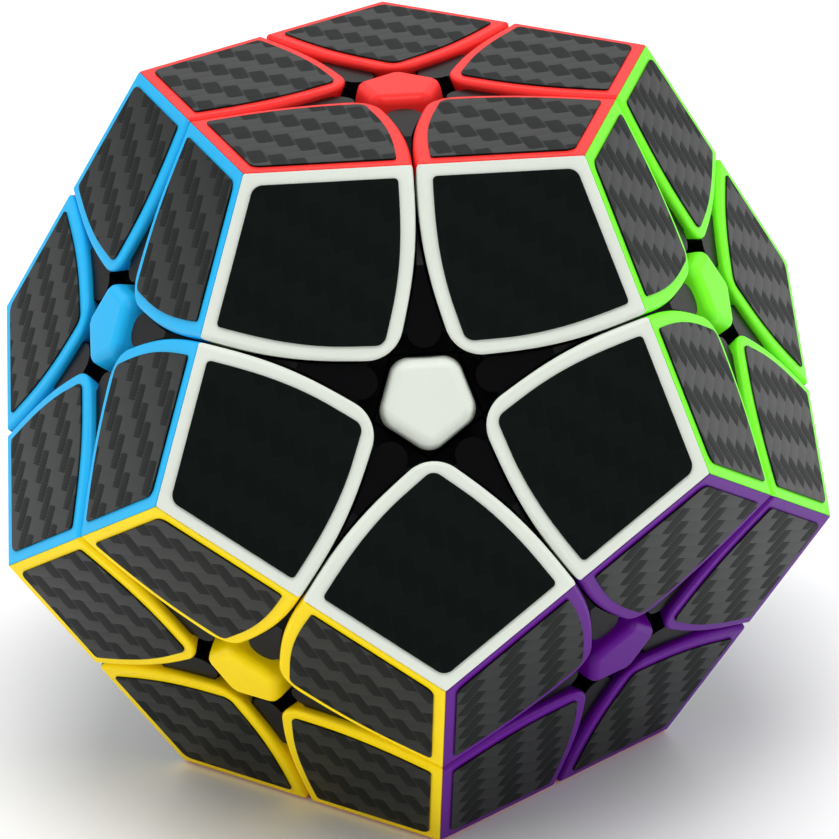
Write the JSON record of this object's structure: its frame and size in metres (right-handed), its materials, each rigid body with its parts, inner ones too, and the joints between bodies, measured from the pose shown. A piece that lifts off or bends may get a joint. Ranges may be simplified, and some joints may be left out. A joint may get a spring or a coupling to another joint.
{
  "type": "dodecahedron twisty puzzle",
  "caption": "Dodecahedral twisty puzzle with coloured corner shells, carbon-look stickers, small face caps and layers that turn.",
  "frame": {"origin": "centre of the core, where the twelve face axes meet", "axes": "+Z out of the red face, which is on top; -Z out of the orange face that it stands on; the white face looks towards -Y"},
  "size_m": [0.0818, 0.086, 0.07],
  "materials": {
    "white_plastic": "moulded",
    "red_plastic": "moulded",
    "orange_plastic": "moulded",
    "green_plastic": "moulded",
    "cream_plastic": "moulded",
    "pink_plastic": "moulded",
    "blue_plastic": "moulded",
    "purple_plastic": "moulded",
    "navy_plastic": "moulded",
    "grey_plastic": "moulded",
    "forest_plastic": "moulded",
    "yellow_plastic": "moulded",
    "black_plastic": "moulded",
    "carbon_film": "embossed twill film",
    "steel": "plated"
  },
  "bodies": {
    "fixed": {"blue_cap": "blue_plastic", "blue_shells_fixed": "blue_plastic", "core": "black_plastic", "corner_feet_fixed": "black_plastic", "forest_cap": "forest_plastic", "forest_shells_fixed": "forest_plastic", "green_cap": "green_plastic", "green_shells_fixed": "green_plastic", "grey_cap": "grey_plastic", "grey_shells_fixed": "grey_plastic", "hidden_edges_fixed": "black_plastic", "hubs_fixed": "black_plastic", "navy_cap": "navy_plastic", "navy_shells_fixed": "navy_plastic", "pink_cap": "pink_plastic", "pink_shells_fixed": "pink_plastic", "purple_cap": "purple_plastic", "purple_shells_fixed": "purple_plastic", "red_cap": "red_plastic", "red_shells_fixed": "red_plastic", "stickers_fixed": "carbon_film", "tension_screws": "steel", "tension_springs": "steel", "washers": "steel", "yellow_cap": "yellow_plastic", "yellow_shells_fixed": "yellow_plastic"},
    "white_layer": {"blue_shells_white_layer": "blue_plastic", "corner_feet_white_layer": "black_plastic", "green_shells_white_layer": "green_plastic", "hidden_edges_white_layer": "black_plastic", "hub_white_layer": "black_plastic", "purple_shells_white_layer": "purple_plastic", "red_shells_white_layer": "red_plastic", "stickers_white_layer": "carbon_film", "white_cap": "white_plastic", "white_shells_white_layer": "white_plastic", "yellow_shells_white_layer": "yellow_plastic"},
    "cream_layer": {"corner_feet_cream_layer": "black_plastic", "cream_cap": "cream_plastic", "cream_shells_cream_layer": "cream_plastic", "green_shells_cream_layer": "green_plastic", "grey_shells_cream_layer": "grey_plastic", "hidden_edges_cream_layer": "black_plastic", "hub_cream_layer": "black_plastic", "navy_shells_cream_layer": "navy_plastic", "pink_shells_cream_layer": "pink_plastic", "red_shells_cream_layer": "red_plastic", "stickers_cream_layer": "carbon_film"},
    "orange_layer": {"corner_feet_orange_layer": "black_plastic", "forest_shells_orange_layer": "forest_plastic", "grey_shells_orange_layer": "grey_plastic", "hidden_edges_orange_layer": "black_plastic", "hub_orange_layer": "black_plastic", "navy_shells_orange_layer": "navy_plastic", "orange_cap": "orange_plastic", "orange_shells_orange_layer": "orange_plastic", "purple_shells_orange_layer": "purple_plastic", "stickers_orange_layer": "carbon_film", "yellow_shells_orange_layer": "yellow_plastic"}
  },
  "joints": [
    {"name": "white_turn", "type": "hinge", "parent": "fixed", "child": "white_layer", "pos_m": [0, 0, 0], "axis": [0, -0.8944, 0.4472], "continuous": true},
    {"name": "cream_turn", "type": "hinge", "parent": "fixed", "child": "cream_layer", "pos_m": [0, 0, 0], "axis": [0.5257, 0.7236, 0.4472], "continuous": true},
    {"name": "orange_turn", "type": "hinge", "parent": "fixed", "child": "orange_layer", "pos_m": [0, 0, 0], "axis": [0, 0, -1], "continuous": true}
  ]
}
